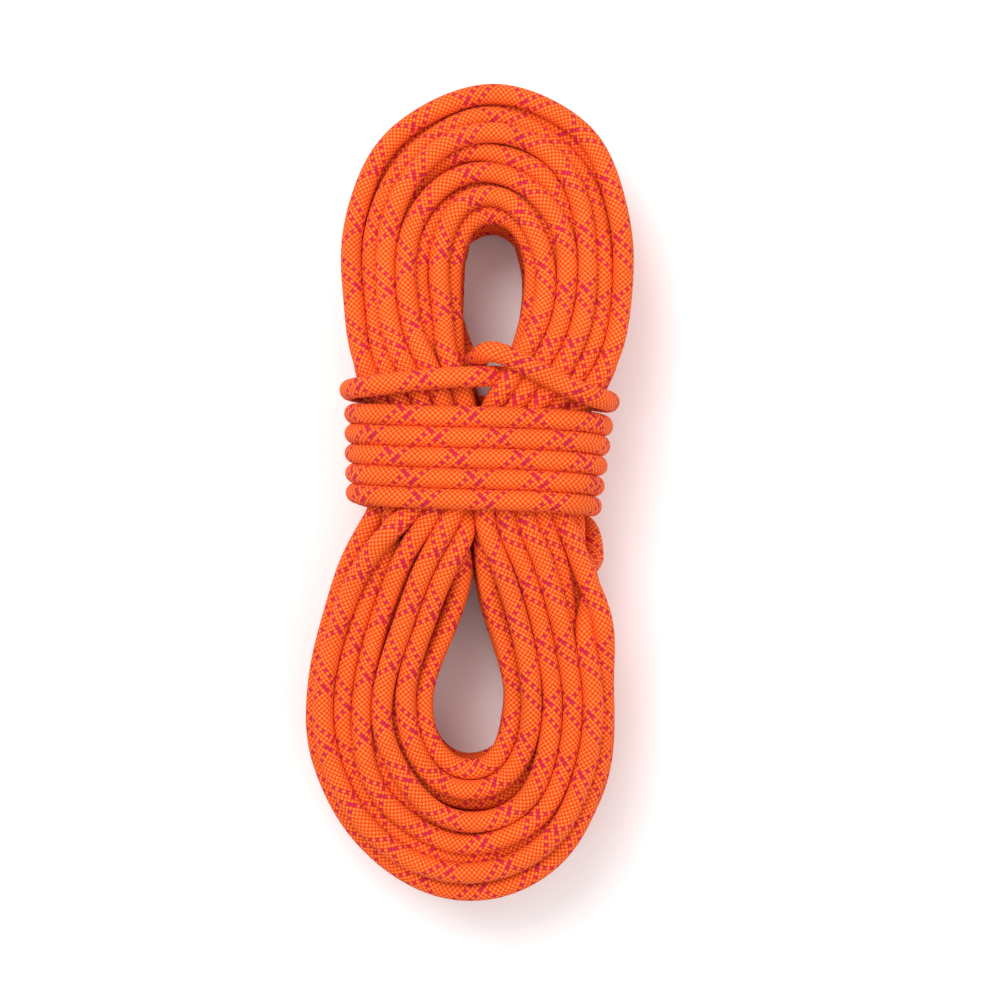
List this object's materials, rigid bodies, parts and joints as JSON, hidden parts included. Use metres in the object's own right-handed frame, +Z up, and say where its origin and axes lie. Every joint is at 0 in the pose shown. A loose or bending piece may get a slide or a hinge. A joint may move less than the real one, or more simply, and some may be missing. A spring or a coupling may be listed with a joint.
{
  "type": "dynamic climbing rope",
  "caption": "Braided kernmantle climbing rope coiled into a flat two-eyed hank, wrapped round its waist and locked with a half hitch.",
  "frame": {"origin": "on the floor, below the middle of the hank's box", "axes": "+Y along the hank towards the loop beside the hitch, +X across it, +Z up"},
  "size_m": [0.1552, 0.3937, 0.0935],
  "materials": {
    "braided_sheath": "matt braided polyamide, orange with crimson tracer yarns",
    "core_yarn": "soft twisted white polyamide",
    "marker_tape": "thin plain polyester tape",
    "fused_polyamide": "melted and hardened sheath and core yarn",
    "clear_sleeve": "clear heat-shrunk polyolefin",
    "label_film": "blank white film"
  },
  "bodies": {
    "root": {"hank_turns": "braided_sheath", "waist_wraps": "braided_sheath", "locking_hitch": "braided_sheath", "finishing_end_sheath": "braided_sheath", "finishing_end_core_strands": "core_yarn", "finishing_end_marker_tape": "marker_tape", "finishing_end_fused_tip": "fused_polyamide", "finishing_end_shrink_sleeve": "clear_sleeve", "finishing_end_label": "label_film", "starting_end_sheath": "braided_sheath", "starting_end_core_strands": "core_yarn", "starting_end_marker_tape": "marker_tape", "starting_end_fused_tip": "fused_polyamide", "starting_end_shrink_sleeve": "clear_sleeve", "starting_end_label": "label_film"}
  },
  "joints": []
}
